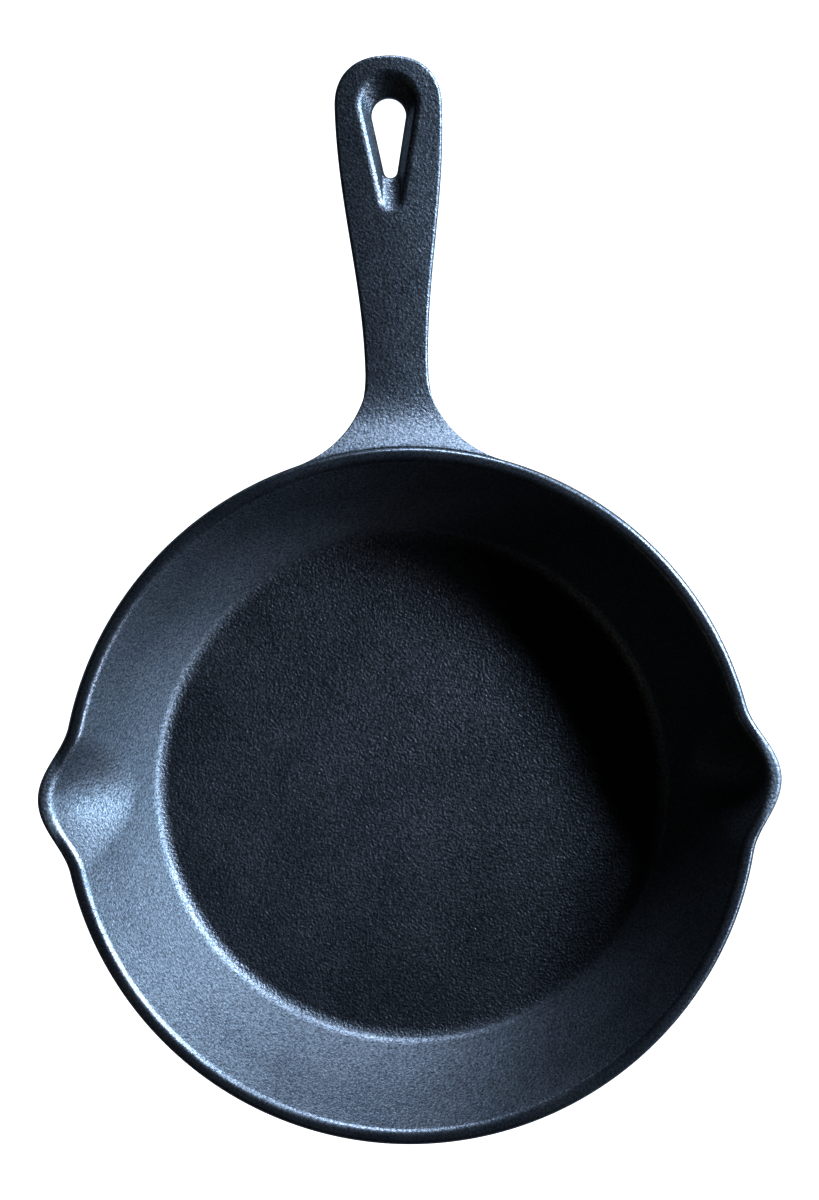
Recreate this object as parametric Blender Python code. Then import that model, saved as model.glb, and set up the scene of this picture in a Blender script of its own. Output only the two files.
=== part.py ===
"""Cast iron skillet, 20 cm across the rim, as the one casting that it is.

Metres, +Z up. The origin is the centre of the base, which rests on z = 0.
The handle runs along +Y and the two pour spouts point along +X and -X.
"""

import math

import bmesh
import bpy

# Pan
RIM_RADIUS = 0.1000
HEIGHT = 0.0440
RIM_FLAT = 0.0009
WALL_RUN = 0.488  # how far the wall leans out for each unit of height
FLOOR_THICKNESS = 0.0045
FLOOR_FILLET = 0.0055
BASE_FILLET = 0.0090
RIM_INNER_ROUND = 0.0025
RIM_OUTER_ROUND = 0.0014

# Pour spouts
SPOUT_REACH = 0.0068
SPOUT_TURN = math.radians(1.1)  # how far each spout sits from square to the handle, towards it
SPOUT_HALF_ANGLE = math.radians(12.3)
SPOUT_FOOT = 0.31  # share of the wall height at which the scoop starts
SPOUT_SPREAD = 0.38  # how quickly the scoop widens as it rises
SPOUT_SOFTNESS = 1.4  # power that eases the scoop out of the wall
SPOUT_HOLLOW = 2.1  # power that makes the scoop steeper again towards the rim

# Handle root
ROOT_HALF_ANGLE = math.radians(17.5)
ROOT_TOP = 0.0425
ROOT_BOTTOM = 0.0200
ROOT_SLOPE = math.radians(36)  # how steeply the root's top falls away from the rim
ROOT_SHELF = 0.0006  # width over which it turns down from level
ROOT_UNDER_POWER = 4.0  # how quickly the root's underside rises to the handle's
ROOT_WALL_PULL = 0.0200  # lengths of the curve handles that give the root its round outline
ROOT_NECK_PULL = 0.0025
ROOT_CREST_PULL = 0.0073

# Handle
NECK_Y = 0.1227
NECK_HALF_WIDTH = 0.0092
WIDEST_Y = 0.1990
WIDEST_HALF_WIDTH = 0.0156
TIP_Y = 0.2137
TIP_SQUARENESS = 2.35
NECK_TOP = 0.0355
NECK_SAG = 0.0055  # how far the handle would drop by its tip if it kept on as it leaves the neck
TIP_LIFT = 0.0095
CROWN = 0.0003
NECK_THICKNESS = 0.0082
TIP_THICKNESS = 0.0070
EDGE_ROUND = 0.0010
RING_START_Y = 0.1630

# Teardrop hanging hole, and the dish it sits in: (centre y, radius) of the small and large ends
HOLE_SMALL = (0.1814, 0.0020)
HOLE_LARGE = (0.1975, 0.0050)
DISH_SMALL = (0.1729, 0.0034)
DISH_LARGE = (0.2001, 0.0087)
DISH_DEPTH = 0.0044
DISH_LIP = 0.0008
HOLE_LIP = 0.0006

# Mesh fineness
SPOUT_CELLS = 10
SIDE_CELLS = 15
BACK_CELLS = 38
WIDTH_CELLS = 8
ROUND_CELLS = 3
WALL_CELLS = 8
ROOT_CELLS = 9
SHANK_CELLS = 6
RING_SIDE_CELLS = 6
RING_TIP_CELLS = 12
DISH_CELLS = 3


def blend(a, b, share):
    return a + (b - a) * share


def steps(start, end, cells):
    return [blend(start, end, i / cells) for i in range(cells + 1)]


def arc(centre, radius, start, end, cells):
    """Points on an arc, with its angles in degrees."""
    turns = [math.radians(a) for a in steps(start, end, cells)]
    return [(centre[0] + radius * math.cos(a), centre[1] + radius * math.sin(a)) for a in turns]


def rim_centre(inside):
    """(radius, height) of the centre that the rim's inner or outer edge is rounded about."""
    if inside:
        return RIM_RADIUS - RIM_OUTER_ROUND - RIM_FLAT, HEIGHT - RIM_INNER_ROUND
    return RIM_RADIUS - RIM_OUTER_ROUND, HEIGHT - RIM_OUTER_ROUND


def wall_radius(height, inside):
    """Radius of the leaning wall, without its spouts. The wall runs smoothly into the rim's rounded edge."""
    centre = rim_centre(inside)
    slant = math.hypot(1, WALL_RUN)
    reach = -RIM_INNER_ROUND * slant if inside else RIM_OUTER_ROUND * slant
    return centre[0] + reach - WALL_RUN * (centre[1] - height)


def wall_arc(level, radius, inside, cells):
    """The fillet between the wall and the floor (inside) or the base (outside), from the flat outwards."""
    lean = math.degrees(math.atan(WALL_RUN))
    tangent = radius * math.tan(math.radians(90 - lean) / 2)
    centre = (wall_radius(level, inside) - tangent, level + radius)
    return arc(centre, radius, -90, -lean, cells)


def rim_profile():
    """Inner edge, top and outer edge of the rim."""
    lean = math.degrees(math.atan(WALL_RUN))
    inner_edge = arc(rim_centre(True), RIM_INNER_ROUND, 180 - lean, 90, ROUND_CELLS)
    return inner_edge + arc(rim_centre(False), RIM_OUTER_ROUND, 90, -lean, ROUND_CELLS)


def pan_profile():
    """(points, first) of the turned section, from the floor's centre to the base's centre.

    points[first] to points[first + side_cells()] is the strip of wall that the handle grows from.
    """
    fillet = wall_arc(FLOOR_THICKNESS, FLOOR_FILLET, True, 2 * ROUND_CELLS)
    rim = rim_profile()
    base = wall_arc(0, BASE_FILLET, False, 2 * ROUND_CELLS)
    inner_wall = [
        (blend(fillet[-1][0], rim[0][0], share), blend(fillet[-1][1], rim[0][1], share))
        for share in steps(0, 1, WALL_CELLS)
    ]
    heights = steps(ROOT_TOP, ROOT_BOTTOM, side_cells()) + [blend(ROOT_BOTTOM, base[-1][1], 0.5)]
    outer_wall = [(wall_radius(height, False), height) for height in heights]
    floor = [(0, FLOOR_THICKNESS), (fillet[0][0] / 2, FLOOR_THICKNESS)]
    underside = [(base[0][0] / 2, 0), (0, 0)]
    before = floor + fillet + inner_wall[1:-1] + rim
    return before + outer_wall + base[::-1] + underside, len(before)


def side_cells():
    """Cells down one side of the handle: two rounded edges and the flat between them."""
    return 2 * ROUND_CELLS + 1


def spout_offset(angle, height):
    """How far a spout pushes the wall outwards at this angle and height."""
    share = (height - FLOOR_THICKNESS) / (HEIGHT - RIM_INNER_ROUND - FLOOR_THICKNESS)
    rise = min((share - SPOUT_FOOT) / (1 - SPOUT_FOOT), 1)
    if rise <= 0:
        return 0
    centre = SPOUT_TURN if math.cos(angle) > 0 else math.pi - SPOUT_TURN
    from_spout = abs(math.remainder(angle - centre, math.tau))
    turn = from_spout / (SPOUT_HALF_ANGLE * rise**SPOUT_SPREAD)
    nose = (1 + math.cos(math.pi * min(turn, 1))) / 2
    return SPOUT_REACH * (1 - (1 - rise**SPOUT_SOFTNESS) ** SPOUT_HOLLOW) * nose


def pan_point(angle, section):
    radius, height = section
    if radius > 0:
        radius += spout_offset(angle, height)
    return (radius * math.cos(angle), radius * math.sin(angle), height)


def pan_angles():
    """Angles round the pan, with the handle's root first."""
    root = (math.pi / 2 + ROOT_HALF_ANGLE, math.pi / 2 - ROOT_HALF_ANGLE)
    spout = (SPOUT_TURN + SPOUT_HALF_ANGLE, SPOUT_TURN - SPOUT_HALF_ANGLE)
    marks = [
        (root[0], root[1], WIDTH_CELLS),
        (root[1], spout[0], SIDE_CELLS),
        (spout[0], spout[1], SPOUT_CELLS),
        (spout[1], -math.pi - spout[1], BACK_CELLS),
        (-math.pi - spout[1], -math.pi - spout[0], SPOUT_CELLS),
        (-math.pi - spout[0], root[0] - math.tau, SIDE_CELLS),
    ]
    return [angle for start, end, cells in marks for angle in steps(start, end, cells)[:-1]]


def half_width(y):
    """Half the handle's width between the neck and its widest place."""
    share = (y - NECK_Y) / (WIDEST_Y - NECK_Y)
    return blend(NECK_HALF_WIDTH, WIDEST_HALF_WIDTH, (1 - math.cos(math.pi * share)) / 2)


def handle_share(y):
    return (y - NECK_Y) / (TIP_Y - NECK_Y)


def handle_crest(y):
    """Height of the handle's top along its middle."""
    share = handle_share(y)
    return NECK_TOP - NECK_SAG * share + TIP_LIFT * share**1.5


def handle_top(x, y):
    return handle_crest(y) - CROWN * (x / NECK_HALF_WIDTH) ** 2


def handle_bottom(y):
    return handle_crest(y) - blend(NECK_THICKNESS, TIP_THICKNESS, handle_share(y))


def flank(y, side):
    """(point, outward normal) of the handle's outline seen from above. side is 1 at +X, -1 at -X."""
    step = 1e-5
    slope = (half_width(y + step) - half_width(y - step)) / (2 * step)
    length = math.hypot(1, slope)
    return (side * half_width(y), y), (side / length, -slope / length)


def tip(turn):
    """(point, outward normal) of the handle's rounded end, from +X at turn 0 to -X at pi."""
    across, along = math.cos(turn), math.sin(turn)
    power = 2 / TIP_SQUARENESS
    x = math.copysign(WIDEST_HALF_WIDTH * abs(across) ** power, across)
    y = (TIP_Y - WIDEST_Y) * abs(along) ** power
    rest = 2 - power
    normal = (
        math.copysign(abs(across) ** rest, across) / WIDEST_HALF_WIDTH,
        abs(along) ** rest / (TIP_Y - WIDEST_Y),
    )
    length = math.hypot(*normal)
    return (x, WIDEST_Y + y), (normal[0] / length, normal[1] / length)


def side_profile(edge):
    """Points down the handle's side, from where the top's flat ends to where the bottom's starts."""
    (x, y), (nx, ny) = edge
    inner = (x - EDGE_ROUND * nx, y - EDGE_ROUND * ny)
    top = handle_top(*inner)
    bottom = handle_bottom(inner[1])
    upper = arc((0, top - EDGE_ROUND), EDGE_ROUND, 90, 0, ROUND_CELLS)
    lower = arc((0, bottom + EDGE_ROUND), EDGE_ROUND, 0, -90, ROUND_CELLS)
    return [(inner[0] + out * nx, inner[1] + out * ny, z) for out, z in upper + lower]


def top_row(left, right):
    """The top's flat between two side profiles, both ends included."""
    xs = steps(left[0][0], right[0][0], WIDTH_CELLS)
    return [(x, left[0][1], handle_top(x, left[0][1])) for x in xs]


def bottom_row(left, right):
    xs = steps(right[-1][0], left[-1][0], WIDTH_CELLS)
    return [(x, left[-1][1], left[-1][2]) for x in xs]


def loop_of(top, right, bottom, left):
    """One closed loop round the handle: over the top, down +X, back along the bottom and up -X."""
    return top + right[1:-1] + bottom + left[-2:0:-1]


def handle_loop(y):
    left, right = side_profile(flank(y, -1)), side_profile(flank(y, 1))
    return loop_of(top_row(left, right), right, bottom_row(left, right), left)


def wall_loop(profile, first):
    """The loop on the pan's wall that the handle grows from, in handle_loop's order."""
    angles = pan_angles()[: WIDTH_CELLS + 1]
    strip = profile[first : first + side_cells() + 1]
    top = [pan_point(angle, strip[0]) for angle in angles]
    bottom = [pan_point(angle, strip[-1]) for angle in reversed(angles)]
    left = [pan_point(angles[0], section) for section in strip]
    right = [pan_point(angles[-1], section) for section in strip]
    return loop_of(top, right, bottom, left)


def root_pull(point, level):
    """How the root's outline sets off from a point of the wall. level runs from 1 at the top to -1 at the bottom."""
    x, y, _ = point
    radius = math.hypot(x, y)
    side = math.asin(x / radius) / ROOT_HALF_ANGLE
    inward = ROOT_WALL_PULL * side
    outward = ROOT_CREST_PULL * abs(level) * (1 - side**2)
    return ((outward * x - inward * y) / radius, (outward * y + inward * x) / radius)


def root_height(start, end, level, radius):
    """Height of the root at this radius, on its way from the wall to the neck."""
    first, last = math.hypot(*start[:2]), math.hypot(*end[:2])
    top_power = math.tan(ROOT_SLOPE) * (last - first) / (ROOT_TOP - NECK_TOP)
    power = blend(ROOT_UNDER_POWER, top_power, (1 + level) / 2)
    left = 1 - settled(radius - first) / settled(last - first)
    return blend(start[2], end[2], 1 - max(left, 0) ** power)


def settled(reach):
    """Distance from the wall, slow to start, so that the root leaves the wall on a small level shelf."""
    return reach - ROOT_SHELF * (1 - math.exp(-reach / ROOT_SHELF))


def root_point(start, end, level, t):
    pull = root_pull(start, level)
    leaving = (start[0] + pull[0], start[1] + pull[1])
    arriving = (end[0], end[1] - ROOT_NECK_PULL)
    weights = ((1 - t) ** 3, 3 * t * (1 - t) ** 2, 3 * t**2 * (1 - t), t**3)
    axes = list(zip(start, leaving, arriving, end))
    x, y = [sum(w * c for w, c in zip(weights, axis)) for axis in axes]
    return (x, y, root_height(start, end, level, math.hypot(x, y)))


def root_loops(wall, neck):
    """Loops from the wall to the neck. Each point follows its own Bezier curve seen from above."""
    across = WIDTH_CELLS + 1
    side = steps(1, -1, side_cells())[1:-1]
    levels = [1] * across + side + [-1] * across + side[::-1]
    middle = [
        [root_point(start, end, level, t) for start, end, level in zip(wall, neck, levels)]
        for t in steps(0, 1, ROOT_CELLS)[1:-1]
    ]
    return [wall] + middle + [neck]


def teardrop(small, large, grow):
    """A teardrop's outline, grown outwards: its small end from -X to +X, then the long way round."""
    (small_y, small_radius), (large_y, large_radius) = small, large
    lean = math.degrees(math.asin((large_radius - small_radius) / (large_y - small_y)))
    near = arc((0, small_y), small_radius + grow, 180 + lean, 360 - lean, WIDTH_CELLS)
    far = arc((0, large_y), large_radius + grow, -lean, 180 + lean, RING_TIP_CELLS)
    shares = steps(0, 1, RING_SIDE_CELLS)[1:-1]
    right = [tuple(blend(a, b, share) for a, b in zip(near[-1], far[0])) for share in shares]
    left = [tuple(blend(a, b, share) for a, b in zip(far[-1], near[0])) for share in shares]
    return near + right + far + left


def ring_edges():
    """Outline of the handle's end, from +X round the tip to -X."""
    ys = steps(RING_START_Y, WIDEST_Y, RING_SIDE_CELLS)
    right = [flank(y, 1) for y in ys[:-1]]
    left = [flank(y, -1) for y in reversed(ys[:-1])]
    return right + [tip(turn) for turn in steps(0, math.pi, RING_TIP_CELLS)] + left


def on_top(outline, drop):
    return [(x, y, handle_top(x, y) - drop) for x, y in outline]


def over_bottom(outline, rise):
    return [(x, y, handle_bottom(y) + rise) for x, y in outline]


def dish_sides(top_drop, bottom_drop):
    """Loops down the dish's straight side."""
    top = teardrop(DISH_SMALL, DISH_LARGE, -DISH_LIP)
    bottom = teardrop(HOLE_SMALL, HOLE_LARGE, HOLE_LIP)
    loops = []
    for share in steps(0, 1, DISH_CELLS):
        outline = [(blend(a[0], b[0], share), blend(a[1], b[1], share)) for a, b in zip(top, bottom)]
        loops.append(on_top(outline, blend(top_drop, bottom_drop, share)))
    return loops


def ring_loops(sides):
    """Loops from the edge of the top's flat, down through the hole and out to the edge of the bottom's flat."""
    right, left = sides[0], sides[-1]
    top_edge = top_row(left, right) + [side[0] for side in sides[1:-1]]
    bottom_edge = bottom_row(left, right)[::-1] + [side[-1] for side in sides[1:-1]]
    lip = DISH_LIP * (1 - math.sqrt(0.5))
    return [
        top_edge,
        on_top(teardrop(DISH_SMALL, DISH_LARGE, DISH_LIP), 0),
        on_top(teardrop(DISH_SMALL, DISH_LARGE, 0), lip),
        *dish_sides(3 * lip, DISH_DEPTH - HOLE_LIP / 2),
        on_top(teardrop(HOLE_SMALL, HOLE_LARGE, 0), DISH_DEPTH + HOLE_LIP / 2),
        over_bottom(teardrop(HOLE_SMALL, HOLE_LARGE, 0), HOLE_LIP),
        over_bottom(teardrop(HOLE_SMALL, HOLE_LARGE, HOLE_LIP), 0),
        bottom_edge,
    ]


def add_grid(mesh, rows, closed, skip=None):
    """Faces between rows of points. skip(row, column) leaves a cell open."""
    verts = [[mesh.verts.new(point) for point in row] for row in rows]
    columns = len(rows[0]) if closed else len(rows[0]) - 1
    for i in range(len(rows) - 1):
        for j in range(columns):
            if skip and skip(i, j):
                continue
            k = (j + 1) % len(rows[0])
            mesh.faces.new((verts[i][j], verts[i][k], verts[i + 1][k], verts[i + 1][j]))


def add_pan(mesh, profile, first):
    """The turned body, with a window in its wall for the handle."""
    rows = [[pan_point(angle, section) for angle in pan_angles()] for section in profile]
    window = range(first, first + side_cells())
    add_grid(mesh, rows, True, lambda i, j: i in window and j < WIDTH_CELLS)


def add_handle(mesh, profile, first):
    """Root, shank and the ring round the hanging hole."""
    shank = [handle_loop(y) for y in steps(NECK_Y, RING_START_Y, SHANK_CELLS)]
    add_grid(mesh, root_loops(wall_loop(profile, first), shank[0]), True)
    add_grid(mesh, shank, True)
    sides = [side_profile(edge) for edge in ring_edges()]
    add_grid(mesh, sides, False)
    add_grid(mesh, ring_loops(sides), True)


def join_patches(mesh):
    """Closes the seams between the grids, and turns every face outwards."""
    bmesh.ops.remove_doubles(mesh, verts=mesh.verts[:], dist=1e-6)
    bmesh.ops.dissolve_degenerate(mesh, edges=mesh.edges[:], dist=1e-7)
    loose = [vert for vert in mesh.verts if not vert.link_faces]
    bmesh.ops.delete(mesh, geom=loose, context="VERTS")
    bmesh.ops.recalc_face_normals(mesh, faces=mesh.faces[:])


def iron_material():
    material = bpy.data.materials.new("seasoned_cast_iron")
    material.use_nodes = True
    shader = material.node_tree.nodes["Principled BSDF"]
    shader.inputs["Base Color"].default_value = (0.035, 0.038, 0.045, 1)
    shader.inputs["Roughness"].default_value = 0.55
    shader.inputs["Metallic"].default_value = 0.6
    return material


def build_casting():
    profile, first = pan_profile()
    mesh = bmesh.new()
    add_pan(mesh, profile, first)
    add_handle(mesh, profile, first)
    join_patches(mesh)
    data = bpy.data.meshes.new("skillet_casting")
    mesh.to_mesh(data)
    mesh.free()
    for polygon in data.polygons:
        polygon.use_smooth = True
    casting = bpy.data.objects.new("skillet_casting", data)
    casting.data.materials.append(iron_material())
    bpy.context.scene.collection.objects.link(casting)


def main():
    for old in list(bpy.data.objects):
        bpy.data.objects.remove(old)
    build_casting()


main()
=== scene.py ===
import math

import bmesh
import bpy
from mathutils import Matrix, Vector


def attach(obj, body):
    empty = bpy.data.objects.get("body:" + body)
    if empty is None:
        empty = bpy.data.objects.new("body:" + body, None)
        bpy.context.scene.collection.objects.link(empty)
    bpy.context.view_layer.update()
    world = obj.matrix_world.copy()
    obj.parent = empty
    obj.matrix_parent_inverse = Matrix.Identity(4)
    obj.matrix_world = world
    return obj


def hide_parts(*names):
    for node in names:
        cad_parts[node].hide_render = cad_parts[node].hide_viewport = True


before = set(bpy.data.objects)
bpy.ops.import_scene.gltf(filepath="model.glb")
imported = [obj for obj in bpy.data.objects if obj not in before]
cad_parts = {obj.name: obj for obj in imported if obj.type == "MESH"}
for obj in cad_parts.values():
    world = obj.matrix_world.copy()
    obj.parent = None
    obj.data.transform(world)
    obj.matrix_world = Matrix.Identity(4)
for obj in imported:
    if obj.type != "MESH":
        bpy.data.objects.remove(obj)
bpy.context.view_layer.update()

# Cast iron skillet, 20 cm across the rim: the casting in fine cells, with its finish, light and camera.
# Metres, +Z up. The origin is the centre of the base, which rests on z = 0.
# The handle runs along +Y and the two pour spouts point along +X and -X.

# Pan
RIM_RADIUS = 0.1000
HEIGHT = 0.0440
RIM_FLAT = 0.0009
WALL_RUN = 0.488  # how far the wall leans out for each unit of height
FLOOR_THICKNESS = 0.0045
FLOOR_FILLET = 0.0055
BASE_FILLET = 0.0090
RIM_INNER_ROUND = 0.0025
RIM_OUTER_ROUND = 0.0014

# Pour spouts
SPOUT_REACH = 0.0068
SPOUT_TURN = math.radians(1.1)  # how far each spout sits from square to the handle, towards it
SPOUT_HALF_ANGLE = math.radians(12.3)
SPOUT_FOOT = 0.31  # share of the wall height at which the scoop starts
SPOUT_SPREAD = 0.38  # how quickly the scoop widens as it rises
SPOUT_SOFTNESS = 1.4  # power that eases the scoop out of the wall
SPOUT_HOLLOW = 2.1  # power that makes the scoop steeper again towards the rim

# Handle root
ROOT_HALF_ANGLE = math.radians(17.5)
ROOT_TOP = 0.0425
ROOT_BOTTOM = 0.0200
ROOT_SLOPE = math.radians(36)  # how steeply the root's top falls away from the rim
ROOT_SHELF = 0.0006  # width over which it turns down from level
ROOT_UNDER_POWER = 4.0  # how quickly the root's underside rises to the handle's
ROOT_WALL_PULL = 0.0200  # lengths of the curve handles that give the root its round outline
ROOT_NECK_PULL = 0.0025
ROOT_CREST_PULL = 0.0073

# Handle
NECK_Y = 0.1227
NECK_HALF_WIDTH = 0.0092
WIDEST_Y = 0.1990
WIDEST_HALF_WIDTH = 0.0156
TIP_Y = 0.2137
TIP_SQUARENESS = 2.35
NECK_TOP = 0.0355
NECK_SAG = 0.0055  # how far the handle would drop by its tip if it kept on as it leaves the neck
TIP_LIFT = 0.0095
CROWN = 0.0003
NECK_THICKNESS = 0.0082
TIP_THICKNESS = 0.0070
EDGE_ROUND = 0.0010
RING_START_Y = 0.1630

# Teardrop hanging hole, and the dish it sits in: (centre y, radius) of the small and large ends
HOLE_SMALL = (0.1814, 0.0020)
HOLE_LARGE = (0.1975, 0.0050)
DISH_SMALL = (0.1729, 0.0034)
DISH_LARGE = (0.2001, 0.0087)
DISH_DEPTH = 0.0044
DISH_LIP = 0.0008
HOLE_LIP = 0.0006

# Mesh fineness
SPOUT_CELLS = 48
SIDE_CELLS = 64
BACK_CELLS = 160
WIDTH_CELLS = 40
ROUND_CELLS = 8
WALL_CELLS = 36
ROOT_CELLS = 44
SHANK_CELLS = 40
RING_SIDE_CELLS = 36
RING_TIP_CELLS = 64
DISH_CELLS = 10
FLAT_RINGS = (0, 0.5, 0.95, 0.995)  # shares of a flat's radius. The outer ones keep its shading level
DISH_MARGIN = 1.4  # lip widths from the dish out to the ring that keeps the handle's shading level


def blend(a, b, share):
    return a + (b - a) * share


def steps(start, end, cells):
    return [blend(start, end, i / cells) for i in range(cells + 1)]


def arc(centre, radius, start, end, cells):
    """Points on an arc, with its angles in degrees."""
    turns = [math.radians(a) for a in steps(start, end, cells)]
    return [(centre[0] + radius * math.cos(a), centre[1] + radius * math.sin(a)) for a in turns]


def rim_centre(inside):
    """(radius, height) of the centre that the rim's inner or outer edge is rounded about."""
    if inside:
        return RIM_RADIUS - RIM_OUTER_ROUND - RIM_FLAT, HEIGHT - RIM_INNER_ROUND
    return RIM_RADIUS - RIM_OUTER_ROUND, HEIGHT - RIM_OUTER_ROUND


def wall_radius(height, inside):
    """Radius of the leaning wall, without its spouts. It runs smoothly into the rim's rounded edge."""
    centre = rim_centre(inside)
    slant = math.hypot(1, WALL_RUN)
    reach = -RIM_INNER_ROUND * slant if inside else RIM_OUTER_ROUND * slant
    return centre[0] + reach - WALL_RUN * (centre[1] - height)


def wall_arc(level, radius, inside, cells):
    """The fillet between the wall and the floor (inside) or the base (outside), from the flat outwards."""
    lean = math.degrees(math.atan(WALL_RUN))
    tangent = radius * math.tan(math.radians(90 - lean) / 2)
    centre = (wall_radius(level, inside) - tangent, level + radius)
    return arc(centre, radius, -90, -lean, cells)


def rim_profile():
    """Inner edge, top and outer edge of the rim."""
    lean = math.degrees(math.atan(WALL_RUN))
    inner_edge = arc(rim_centre(True), RIM_INNER_ROUND, 180 - lean, 90, ROUND_CELLS)
    return inner_edge + arc(rim_centre(False), RIM_OUTER_ROUND, 90, -lean, ROUND_CELLS)


def pan_profile():
    """(points, first) of the turned section, from the floor's centre to the base's centre.

    points[first] to points[first + side_cells()] is the strip of wall that the handle grows from.
    """
    fillet = wall_arc(FLOOR_THICKNESS, FLOOR_FILLET, True, 2 * ROUND_CELLS)
    rim = rim_profile()
    base = wall_arc(0, BASE_FILLET, False, 2 * ROUND_CELLS)
    inner_wall = [
        (blend(fillet[-1][0], rim[0][0], share), blend(fillet[-1][1], rim[0][1], share))
        for share in steps(0, 1, WALL_CELLS)
    ]
    heights = steps(ROOT_TOP, ROOT_BOTTOM, side_cells()) + [blend(ROOT_BOTTOM, base[-1][1], 0.5)]
    outer_wall = [(wall_radius(height, False), height) for height in heights]
    floor = [(share * fillet[0][0], FLOOR_THICKNESS) for share in FLAT_RINGS]
    underside = [(share * base[0][0], 0) for share in reversed(FLAT_RINGS)]
    before = floor + fillet + inner_wall[1:-1] + rim
    return before + outer_wall + base[::-1] + underside, len(before)


def side_cells():
    """Cells down one side of the handle: two rounded edges and the flat between them."""
    return 2 * ROUND_CELLS + 1


def spout_offset(angle, height):
    """How far a spout pushes the wall outwards at this angle and height."""
    share = (height - FLOOR_THICKNESS) / (HEIGHT - RIM_INNER_ROUND - FLOOR_THICKNESS)
    rise = min((share - SPOUT_FOOT) / (1 - SPOUT_FOOT), 1)
    if rise <= 0:
        return 0
    centre = SPOUT_TURN if math.cos(angle) > 0 else math.pi - SPOUT_TURN
    from_spout = abs(math.remainder(angle - centre, math.tau))
    turn = from_spout / (SPOUT_HALF_ANGLE * rise**SPOUT_SPREAD)
    nose = (1 + math.cos(math.pi * min(turn, 1))) / 2
    return SPOUT_REACH * (1 - (1 - rise**SPOUT_SOFTNESS) ** SPOUT_HOLLOW) * nose


def pan_point(angle, section):
    radius, height = section
    if radius > 0:
        radius += spout_offset(angle, height)
    return (radius * math.cos(angle), radius * math.sin(angle), height)


def pan_angles():
    """Angles round the pan, with the handle's root first."""
    root = (math.pi / 2 + ROOT_HALF_ANGLE, math.pi / 2 - ROOT_HALF_ANGLE)
    spout = (SPOUT_TURN + SPOUT_HALF_ANGLE, SPOUT_TURN - SPOUT_HALF_ANGLE)
    marks = [
        (root[0], root[1], WIDTH_CELLS),
        (root[1], spout[0], SIDE_CELLS),
        (spout[0], spout[1], SPOUT_CELLS),
        (spout[1], -math.pi - spout[1], BACK_CELLS),
        (-math.pi - spout[1], -math.pi - spout[0], SPOUT_CELLS),
        (-math.pi - spout[0], root[0] - math.tau, SIDE_CELLS),
    ]
    return [angle for start, end, cells in marks for angle in steps(start, end, cells)[:-1]]


def half_width(y):
    """Half the handle's width between the neck and its widest place."""
    share = (y - NECK_Y) / (WIDEST_Y - NECK_Y)
    return blend(NECK_HALF_WIDTH, WIDEST_HALF_WIDTH, (1 - math.cos(math.pi * share)) / 2)


def handle_share(y):
    return (y - NECK_Y) / (TIP_Y - NECK_Y)


def handle_crest(y):
    """Height of the handle's top along its middle."""
    share = handle_share(y)
    return NECK_TOP - NECK_SAG * share + TIP_LIFT * share**1.5


def handle_top(x, y):
    return handle_crest(y) - CROWN * (x / NECK_HALF_WIDTH) ** 2


def handle_bottom(y):
    return handle_crest(y) - blend(NECK_THICKNESS, TIP_THICKNESS, handle_share(y))


def flank(y, side):
    """(point, outward normal) of the handle's outline seen from above. side is 1 at +X, -1 at -X."""
    step = 1e-5
    slope = (half_width(y + step) - half_width(y - step)) / (2 * step)
    length = math.hypot(1, slope)
    return (side * half_width(y), y), (side / length, -slope / length)


def tip(turn):
    """(point, outward normal) of the handle's rounded end, from +X at turn 0 to -X at pi."""
    across, along = math.cos(turn), math.sin(turn)
    power = 2 / TIP_SQUARENESS
    x = math.copysign(WIDEST_HALF_WIDTH * abs(across) ** power, across)
    y = (TIP_Y - WIDEST_Y) * abs(along) ** power
    rest = 2 - power
    normal = (
        math.copysign(abs(across) ** rest, across) / WIDEST_HALF_WIDTH,
        abs(along) ** rest / (TIP_Y - WIDEST_Y),
    )
    length = math.hypot(*normal)
    return (x, WIDEST_Y + y), (normal[0] / length, normal[1] / length)


def side_profile(edge):
    """Points down the handle's side, from where the top's flat ends to where the bottom's starts."""
    (x, y), (nx, ny) = edge
    inner = (x - EDGE_ROUND * nx, y - EDGE_ROUND * ny)
    top = handle_top(*inner)
    bottom = handle_bottom(inner[1])
    upper = arc((0, top - EDGE_ROUND), EDGE_ROUND, 90, 0, ROUND_CELLS)
    lower = arc((0, bottom + EDGE_ROUND), EDGE_ROUND, 0, -90, ROUND_CELLS)
    return [(inner[0] + out * nx, inner[1] + out * ny, z) for out, z in upper + lower]


def top_row(left, right):
    """The top's flat between two side profiles, both ends included."""
    xs = steps(left[0][0], right[0][0], WIDTH_CELLS)
    return [(x, left[0][1], handle_top(x, left[0][1])) for x in xs]


def bottom_row(left, right):
    xs = steps(right[-1][0], left[-1][0], WIDTH_CELLS)
    return [(x, left[-1][1], left[-1][2]) for x in xs]


def loop_of(top, right, bottom, left):
    """One closed loop round the handle: over the top, down +X, back along the bottom and up -X."""
    return top + right[1:-1] + bottom + left[-2:0:-1]


def handle_loop(y):
    left, right = side_profile(flank(y, -1)), side_profile(flank(y, 1))
    return loop_of(top_row(left, right), right, bottom_row(left, right), left)


def wall_loop(profile, first):
    """The loop on the pan's wall that the handle grows from, in handle_loop's order."""
    angles = pan_angles()[: WIDTH_CELLS + 1]
    strip = profile[first : first + side_cells() + 1]
    top = [pan_point(angle, strip[0]) for angle in angles]
    bottom = [pan_point(angle, strip[-1]) for angle in reversed(angles)]
    left = [pan_point(angles[0], section) for section in strip]
    right = [pan_point(angles[-1], section) for section in strip]
    return loop_of(top, right, bottom, left)


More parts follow.
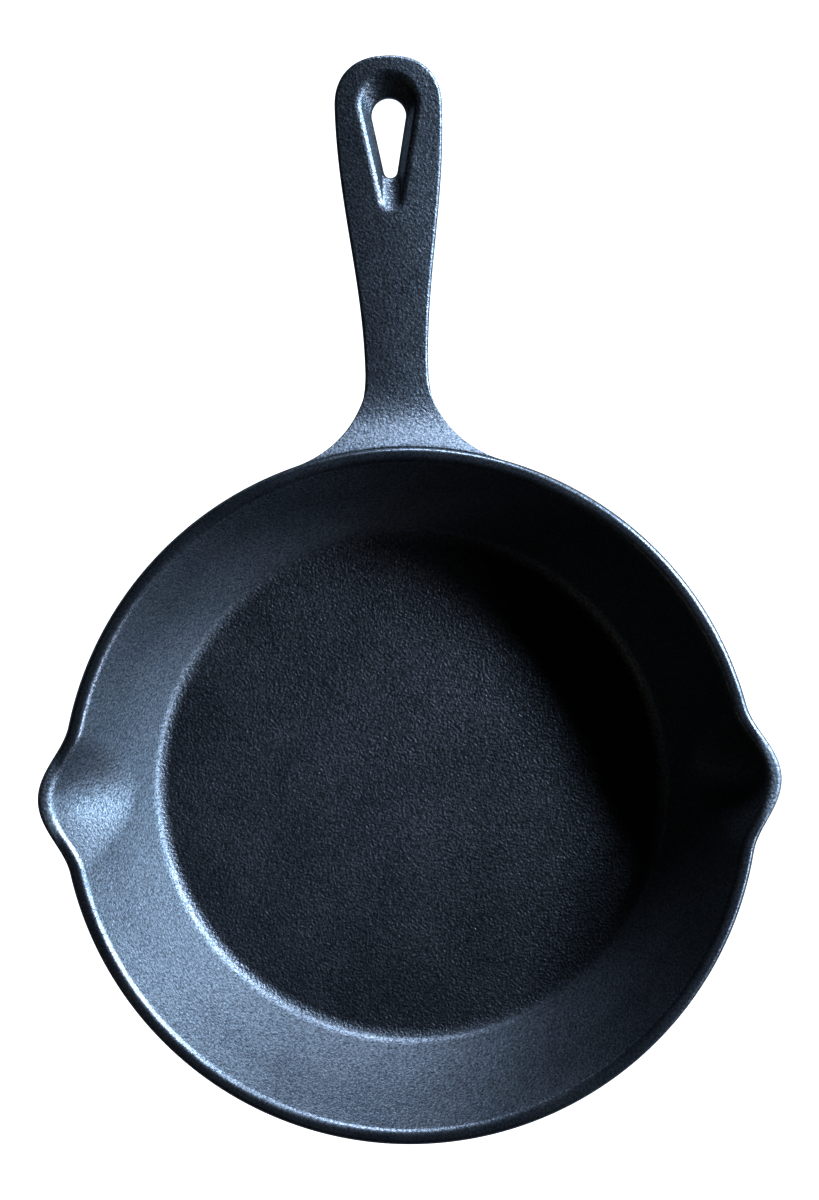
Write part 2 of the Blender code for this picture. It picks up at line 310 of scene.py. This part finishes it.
def root_pull(point, level):
    """How the root's outline sets off from a point of the wall.

    level runs from 1 at the root's top to -1 at its bottom.
    """
    x, y, _ = point
    radius = math.hypot(x, y)
    side = math.asin(x / radius) / ROOT_HALF_ANGLE
    inward = ROOT_WALL_PULL * side
    outward = ROOT_CREST_PULL * abs(level) * (1 - side**2)
    return ((outward * x - inward * y) / radius, (outward * y + inward * x) / radius)


def root_height(start, end, level, radius):
    """Height of the root at this radius, on its way from the wall to the neck."""
    first, last = math.hypot(*start[:2]), math.hypot(*end[:2])
    top_power = math.tan(ROOT_SLOPE) * (last - first) / (ROOT_TOP - NECK_TOP)
    power = blend(ROOT_UNDER_POWER, top_power, (1 + level) / 2)
    left = 1 - settled(radius - first) / settled(last - first)
    return blend(start[2], end[2], 1 - max(left, 0) ** power)


def settled(reach):
    """Distance from the wall, slow to start, so that the root leaves the wall on a small level shelf."""
    return reach - ROOT_SHELF * (1 - math.exp(-reach / ROOT_SHELF))


def root_point(start, end, level, t):
    pull = root_pull(start, level)
    leaving = (start[0] + pull[0], start[1] + pull[1])
    arriving = (end[0], end[1] - ROOT_NECK_PULL)
    weights = ((1 - t) ** 3, 3 * t * (1 - t) ** 2, 3 * t**2 * (1 - t), t**3)
    axes = list(zip(start, leaving, arriving, end))
    x, y = [sum(w * c for w, c in zip(weights, axis)) for axis in axes]
    return (x, y, root_height(start, end, level, math.hypot(x, y)))


def root_loops(wall, neck):
    """Loops from the wall to the neck. Each point follows its own Bezier curve seen from above."""
    across = WIDTH_CELLS + 1
    side = steps(1, -1, side_cells())[1:-1]
    levels = [1] * across + side + [-1] * across + side[::-1]
    middle = [
        [root_point(start, end, level, t) for start, end, level in zip(wall, neck, levels)]
        for t in steps(0, 1, ROOT_CELLS)[1:-1]
    ]
    return [wall] + middle + [neck]


def teardrop(small, large, grow):
    """A teardrop's outline, grown outwards: its small end from -X to +X, then the long way round."""
    (small_y, small_radius), (large_y, large_radius) = small, large
    lean = math.degrees(math.asin((large_radius - small_radius) / (large_y - small_y)))
    near = arc((0, small_y), small_radius + grow, 180 + lean, 360 - lean, WIDTH_CELLS)
    far = arc((0, large_y), large_radius + grow, -lean, 180 + lean, RING_TIP_CELLS)
    shares = steps(0, 1, RING_SIDE_CELLS)[1:-1]
    right = [tuple(blend(a, b, share) for a, b in zip(near[-1], far[0])) for share in shares]
    left = [tuple(blend(a, b, share) for a, b in zip(far[-1], near[0])) for share in shares]
    return near + right + far + left


def ring_edges():
    """Outline of the handle's end, from +X round the tip to -X."""
    ys = steps(RING_START_Y, WIDEST_Y, RING_SIDE_CELLS)
    right = [flank(y, 1) for y in ys[:-1]]
    left = [flank(y, -1) for y in reversed(ys[:-1])]
    return right + [tip(turn) for turn in steps(0, math.pi, RING_TIP_CELLS)] + left


def on_top(outline, drop):
    return [(x, y, handle_top(x, y) - drop) for x, y in outline]


def over_bottom(outline, rise):
    return [(x, y, handle_bottom(y) + rise) for x, y in outline]


def dish_sides(top_drop, bottom_drop):
    """Loops down the dish's straight side."""
    top = teardrop(DISH_SMALL, DISH_LARGE, -DISH_LIP)
    bottom = teardrop(HOLE_SMALL, HOLE_LARGE, HOLE_LIP)
    loops = []
    for share in steps(0, 1, DISH_CELLS):
        outline = [(blend(a[0], b[0], share), blend(a[1], b[1], share)) for a, b in zip(top, bottom)]
        loops.append(on_top(outline, blend(top_drop, bottom_drop, share)))
    return loops


def ring_loops(sides):
    """Loops from the edge of the top's flat, down through the hole and out to the bottom's edge."""
    right, left = sides[0], sides[-1]
    top_edge = top_row(left, right) + [side[0] for side in sides[1:-1]]
    bottom_edge = bottom_row(left, right)[::-1] + [side[-1] for side in sides[1:-1]]
    half_drop = DISH_LIP * (1 - math.sqrt(0.5))
    full_drop = 3 * half_drop
    return [
        top_edge,
        on_top(teardrop(DISH_SMALL, DISH_LARGE, DISH_MARGIN * DISH_LIP), 0),
        on_top(teardrop(DISH_SMALL, DISH_LARGE, DISH_LIP), 0),
        on_top(teardrop(DISH_SMALL, DISH_LARGE, 0), half_drop),
        *dish_sides(full_drop, DISH_DEPTH - HOLE_LIP / 2),
        on_top(teardrop(HOLE_SMALL, HOLE_LARGE, 0), DISH_DEPTH + HOLE_LIP / 2),
        over_bottom(teardrop(HOLE_SMALL, HOLE_LARGE, 0), HOLE_LIP),
        over_bottom(teardrop(HOLE_SMALL, HOLE_LARGE, HOLE_LIP), 0),
        bottom_edge,
    ]


def add_grid(mesh, rows, closed, skip=None):
    """Faces between rows of points. skip(row, column) leaves a cell open."""
    verts = [[mesh.verts.new(point) for point in row] for row in rows]
    columns = len(rows[0]) if closed else len(rows[0]) - 1
    for i in range(len(rows) - 1):
        for j in range(columns):
            if skip and skip(i, j):
                continue
            k = (j + 1) % len(rows[0])
            mesh.faces.new((verts[i][j], verts[i][k], verts[i + 1][k], verts[i + 1][j]))


def add_pan(mesh, profile, first):
    """The turned body, with a window in its wall for the handle."""
    rows = [[pan_point(angle, section) for angle in pan_angles()] for section in profile]
    window = range(first, first + side_cells())
    add_grid(mesh, rows, True, lambda i, j: i in window and j < WIDTH_CELLS)


def add_handle(mesh, profile, first):
    """Root, shank and the ring round the hanging hole."""
    shank = [handle_loop(y) for y in steps(NECK_Y, RING_START_Y, SHANK_CELLS)]
    add_grid(mesh, root_loops(wall_loop(profile, first), shank[0]), True)
    add_grid(mesh, shank, True)
    sides = [side_profile(edge) for edge in ring_edges()]
    add_grid(mesh, sides, False)
    add_grid(mesh, ring_loops(sides), True)


def join_patches(mesh):
    """Closes the seams between the grids, and turns every face outwards."""
    bmesh.ops.remove_doubles(mesh, verts=mesh.verts[:], dist=1e-6)
    bmesh.ops.dissolve_degenerate(mesh, edges=mesh.edges[:], dist=1e-7)
    loose = [vert for vert in mesh.verts if not vert.link_faces]
    bmesh.ops.delete(mesh, geom=loose, context="VERTS")
    bmesh.ops.recalc_face_normals(mesh, faces=mesh.faces[:])


# Studio floor
FLOOR_HALF = 30.0
FLOOR_LEVEL = -0.0005
FLOOR_GREY = (0.15, 0.15, 0.15, 1)  # how much light it casts back
FLOOR_ROUGHNESS = 0.9

# Lights: (name, azimuth, elevation, spread, strength, colour), with the angles in degrees
LIGHTS = (
    ("window", 30, 13.5, 27, 13.6, (0.54, 0.74, 1.0)),
    ("window_edge", 0, 19, 17, 3.2, (0.38, 0.69, 1.0)),
    ("behind_handle", 80, 18, 18, 7.1, (0.58, 0.74, 1.0)),
    ("front_right", -20, 25, 14, 3.7, (0.65, 0.77, 1.0)),
    ("key", 21, 37, 10, 5.8, (0.62, 0.76, 1.0)),
    ("key_edge", 39, 37.5, 10, 4.4, (0.56, 0.74, 1.0)),
    ("fill", 215, 37, 26, 0.14, (0.95, 1.0, 0.85)),
)

# Surface. Finishes up the pan: (height above the table, roughness, grain depth in mm, specular level). The
# specular level is partly the seasoning's own sheen and partly painted sheen, raised at the floor's bend
# and the foot of the wall to make them look brighter in the light.
FINISHES_AND_PAINTED_SHEEN = (
    (0.0049, 0.46, 0.24, 0.44),
    (0.0056, 0.48, 0.09, 0.55),
    (0.0063, 0.51, 0.11, 0.82),
    (0.0074, 0.56, 0.16, 0.95),
    (0.0100, 0.60, 0.18, 0.87),
    (0.0300, 0.54, 0.18, 0.64),
    (0.0428, 0.54, 0.17, 0.60),
    (0.0434, 0.37, 0.03, 0.46),
)
# Finishes beyond the pan, with the distances from its centre over which each one takes over. The root's
# higher specular level is painted sheen that brightens its slope.
OUTER_FINISHES_AND_PAINTED_SHEEN = (
    (0.1005, 0.1030, 0.60, 0.15, 0.76),
    (0.1045, 0.1110, 0.44, 0.16, 0.57),
)
PAINTED_SHEEN_PATCH = (0.020, 0.025, 0.0045)  # painted sheen: where the floor is made to shine most, off centre towards the side the light comes from
PAINTED_SHEEN_REACH = 0.095
PAINTED_SHEEN_GAIN = 1.7  # how much shinier the painted sheen makes the floor there than at the patch's edge
GRAIN_SCALE = 1300  # grains per metre
GLINT_SCALE = 1430
GLINT = 0.58  # how far the dullest and brightest grains are from the specular level, as a share of it
PATCH_SCALE = 40
UNEVENNESS = 0.03  # how far patches are rougher or smoother than their place's finish
TINT_SCALE = 80
COOL_BLACK = (0.0026, 0.0027, 0.0030, 1)
WARM_BLACK = (0.0042, 0.0038, 0.0036, 1)
NOISE_RANGE = (0.3, 0.7)  # where nearly all of a noise's values lie
MILLIMETRE = 0.001

# Camera
CAMERA_HEIGHT = 0.665  # above the rim
FRAME_CENTRE = (0.0017, 0.0562)  # the point of the rim's plane in the middle of the picture
CAMERA_SIDESTEP = 0.0095  # how far the camera stands to the right of that point
CAMERA_ROLL = math.radians(-1.83)
FRAME_HEIGHT = 0.34385  # how much of the rim's plane the picture shows, top to bottom
SENSOR_SIZE = 36  # mm


def build_skillet():
    profile, first = pan_profile()
    mesh = bmesh.new()
    add_pan(mesh, profile, first)
    add_handle(mesh, profile, first)
    join_patches(mesh)
    data = bpy.data.meshes.new("skillet")
    mesh.to_mesh(data)
    mesh.free()
    for polygon in data.polygons:
        polygon.use_smooth = True
    skillet = bpy.data.objects.new("skillet", data)
    bpy.context.scene.collection.objects.link(skillet)
    return skillet


class Wiring:
    """Adds nodes to a material, each with its inputs given as numbers or as other nodes' outputs."""

    def __init__(self, material):
        self.nodes, self.links = material.node_tree.nodes, material.node_tree.links
        self.where = self.nodes.new("ShaderNodeTexCoord").outputs["Object"]

    def feed(self, socket, value):
        if isinstance(value, bpy.types.NodeSocket):
            self.links.new(value, socket)
        else:
            socket.default_value = value

    def node(self, kind, inputs, result, **settings):
        node = self.nodes.new(kind)
        for name, value in settings.items():
            setattr(node, name, value)
        for name, value in inputs.items():
            self.feed(node.inputs[name], value)
        return node.outputs[result]

    def noise(self, scale, detail):
        inputs = {"Vector": self.where, "Scale": scale, "Detail": detail}
        return self.node("ShaderNodeTexNoise", inputs, "Fac")

    def spread(self, source, given, wanted):
        """The source, with the range given stretched over the range wanted."""
        before = {"From Min": given[0], "From Max": given[1]}
        after = {"To Min": wanted[0], "To Max": wanted[1]}
        return self.node("ShaderNodeMapRange", {"Value": source, **before, **after}, "Result")

    def maths(self, operation, first, second):
        return self.node("ShaderNodeMath", {0: first, 1: second}, "Value", operation=operation)

    def vector_maths(self, operation, result, *inputs):
        return self.node("ShaderNodeVectorMath", dict(enumerate(inputs)), result, operation=operation)

    def ramp(self, source, stops):
        """A ramp between (position, colour) stops."""
        node = self.nodes.new("ShaderNodeValToRGB")
        self.feed(node.inputs["Fac"], source)
        node.color_ramp.elements.remove(node.color_ramp.elements[0])
        node.color_ramp.elements[0].position = stops[-1][0]
        node.color_ramp.elements[0].color = stops[-1][1]
        for position, colour in stops[:-1]:
            node.color_ramp.elements.new(position).color = colour
        return node.outputs["Color"]

    def place_finish_and_painted_sheen(self):
        """A colour that carries roughness as red, grain depth in mm as green and specular level as blue.
        The blue is partly painted sheen.
        """
        height = self.node("ShaderNodeSeparateXYZ", {"Vector": self.where}, "Z")
        # Painted sheen: the blue channel raises the specular level at the floor's bend, the wall's foot and
        # the root, where the light makes them look brighter.
        stops = [(level / HEIGHT, (*finish_and_painted_sheen, 1)) for level, *finish_and_painted_sheen in FINISHES_AND_PAINTED_SHEEN]
        place = self.ramp(self.maths("DIVIDE", height, HEIGHT), stops)
        flat = self.vector_maths("MULTIPLY", "Vector", self.where, (1, 1, 0))
        radius = self.vector_maths("LENGTH", "Value", flat)
        for near, far, *finish_and_painted_sheen in OUTER_FINISHES_AND_PAINTED_SHEEN:
            share = self.spread(radius, (near, far), (0, 1))
            inputs = {"Fac": share, "Color1": place, "Color2": (*finish_and_painted_sheen, 1)}
            place = self.node("ShaderNodeMixRGB", inputs, "Color")
        return place

    def finish_and_painted_sheen(self):
        """Roughness, grain depth in mm and specular level. The specular level is partly the seasoning's own
        sheen and partly painted sheen, and is raised further in a patch on the floor.
        """
        parts = self.nodes.new("ShaderNodeSeparateColor")
        self.feed(parts.inputs["Color"], self.place_finish_and_painted_sheen())
        # Painted sheen: a patch of the floor gets a higher specular level, so it looks brighter towards the
        # light.
        away = self.vector_maths("DISTANCE", "Value", self.where, PAINTED_SHEEN_PATCH)
        painted_sheen = self.spread(away, (0, PAINTED_SHEEN_REACH), (PAINTED_SHEEN_GAIN, 1))
        shine = self.maths("MULTIPLY", parts.outputs["Blue"], painted_sheen)
        return parts.outputs["Red"], parts.outputs["Green"], shine


def iron_material():
    """Black seasoning over a sand-cast skin, with a fine grain that glints, a slightly uneven sheen, and
    painted sheen where the specular level is raised by place.
    """
    material = bpy.data.materials.new("seasoned_iron")
    material.use_nodes = True
    wiring = Wiring(material)
    inputs = material.node_tree.nodes["Principled BSDF"].inputs
    roughness, depth, shine = wiring.finish_and_painted_sheen()
    grain = wiring.maths("MULTIPLY", wiring.noise(GRAIN_SCALE, detail=1.5), depth)
    relief = {"Height": grain, "Strength": 1.0, "Distance": MILLIMETRE}
    wiring.feed(inputs["Normal"], wiring.node("ShaderNodeBump", relief, "Normal"))
    glint = wiring.spread(wiring.noise(GLINT_SCALE, detail=2), NOISE_RANGE, (1 - GLINT, 1 + GLINT))
    # The specular level carries painted sheen as well as the grain's glints.
    wiring.feed(inputs["Specular IOR Level"], wiring.maths("MULTIPLY", shine, glint))
    patches = wiring.spread(wiring.noise(PATCH_SCALE, detail=3), NOISE_RANGE, (-UNEVENNESS, UNEVENNESS))
    wiring.feed(inputs["Roughness"], wiring.maths("ADD", roughness, patches))
    tint = wiring.spread(wiring.noise(TINT_SCALE, detail=4), NOISE_RANGE, (0, 1))
    wiring.feed(inputs["Base Color"], wiring.ramp(tint, ((0, COOL_BLACK), (1, WARM_BLACK))))
    return material


def floor_material():
    """White to the camera, and matt grey to every other ray."""
    material = bpy.data.materials.new("white_sweep")
    material.use_nodes = True
    nodes, links = material.node_tree.nodes, material.node_tree.links
    shader = nodes["Principled BSDF"]
    shader.inputs["Base Color"].default_value = FLOOR_GREY
    shader.inputs["Roughness"].default_value = FLOOR_ROUGHNESS
    glow = nodes.new("ShaderNodeEmission")
    path = nodes.new("ShaderNodeLightPath")
    mix = nodes.new("ShaderNodeMixShader")
    links.new(path.outputs["Is Camera Ray"], mix.inputs[0])
    links.new(shader.outputs[0], mix.inputs[1])
    links.new(glow.outputs[0], mix.inputs[2])
    links.new(mix.outputs[0], nodes["Material Output"].inputs["Surface"])
    return material


def build_floor():
    data = bpy.data.meshes.new("floor")
    signs = ((-1, -1), (1, -1), (1, 1), (-1, 1))
    corners = [(x * FLOOR_HALF, y * FLOOR_HALF, FLOOR_LEVEL) for x, y in signs]
    data.from_pydata(corners, [], [(0, 1, 2, 3)])
    data.materials.append(floor_material())
    floor = bpy.data.objects.new("floor", data)
    bpy.context.scene.collection.objects.link(floor)
    return floor


def build_backdrop():
    """A world that the camera sees as white, and that casts no light."""
    world = bpy.data.worlds.new("studio")
    world.use_nodes = True
    nodes, links = world.node_tree.nodes, world.node_tree.links
    nodes["Background"].inputs["Color"].default_value = (1, 1, 1, 1)
    path = nodes.new("ShaderNodeLightPath")
    links.new(path.outputs["Is Camera Ray"], nodes["Background"].inputs["Strength"])
    return world


def place_camera():
    """A camera that looks straight down, shifted so that it stands off the picture's middle."""
    data = bpy.data.cameras.new("camera")
    data.sensor_width = SENSOR_SIZE
    data.lens = SENSOR_SIZE * CAMERA_HEIGHT / FRAME_HEIGHT
    data.shift_x = -CAMERA_SIDESTEP / FRAME_HEIGHT
    camera = bpy.data.objects.new("camera", data)
    x = FRAME_CENTRE[0] + CAMERA_SIDESTEP * math.cos(CAMERA_ROLL)
    y = FRAME_CENTRE[1] + CAMERA_SIDESTEP * math.sin(CAMERA_ROLL)
    camera.location = (x, y, HEIGHT + CAMERA_HEIGHT)
    camera.rotation_euler = (0, 0, CAMERA_ROLL)
    bpy.context.scene.collection.objects.link(camera)
    bpy.context.scene.camera = camera


def place_light(name, azimuth, elevation, spread, strength, colour):
    """A distant soft light. azimuth runs from +X towards +Y, and spread is the angle that it fills."""
    data = bpy.data.lights.new(name, "SUN")
    data.angle = math.radians(spread)
    data.energy = strength
    data.color = colour
    light = bpy.data.objects.new(name, data)
    turn, rise = math.radians(azimuth), math.radians(elevation)
    way = (math.cos(rise) * math.cos(turn), math.cos(rise) * math.sin(turn), math.sin(rise))
    light.rotation_euler = Vector(way).to_track_quat("Z", "Y").to_euler()
    bpy.context.scene.collection.objects.link(light)


skillet = build_skillet()
skillet.data.materials.append(iron_material())
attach(skillet, "root")
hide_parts("skillet_casting")
build_floor()
for light in LIGHTS:
    place_light(*light)
bpy.context.scene.world = build_backdrop()
bpy.context.scene.view_settings.view_transform = "Standard"
bpy.context.scene.view_settings.look = "High Contrast"
place_camera()
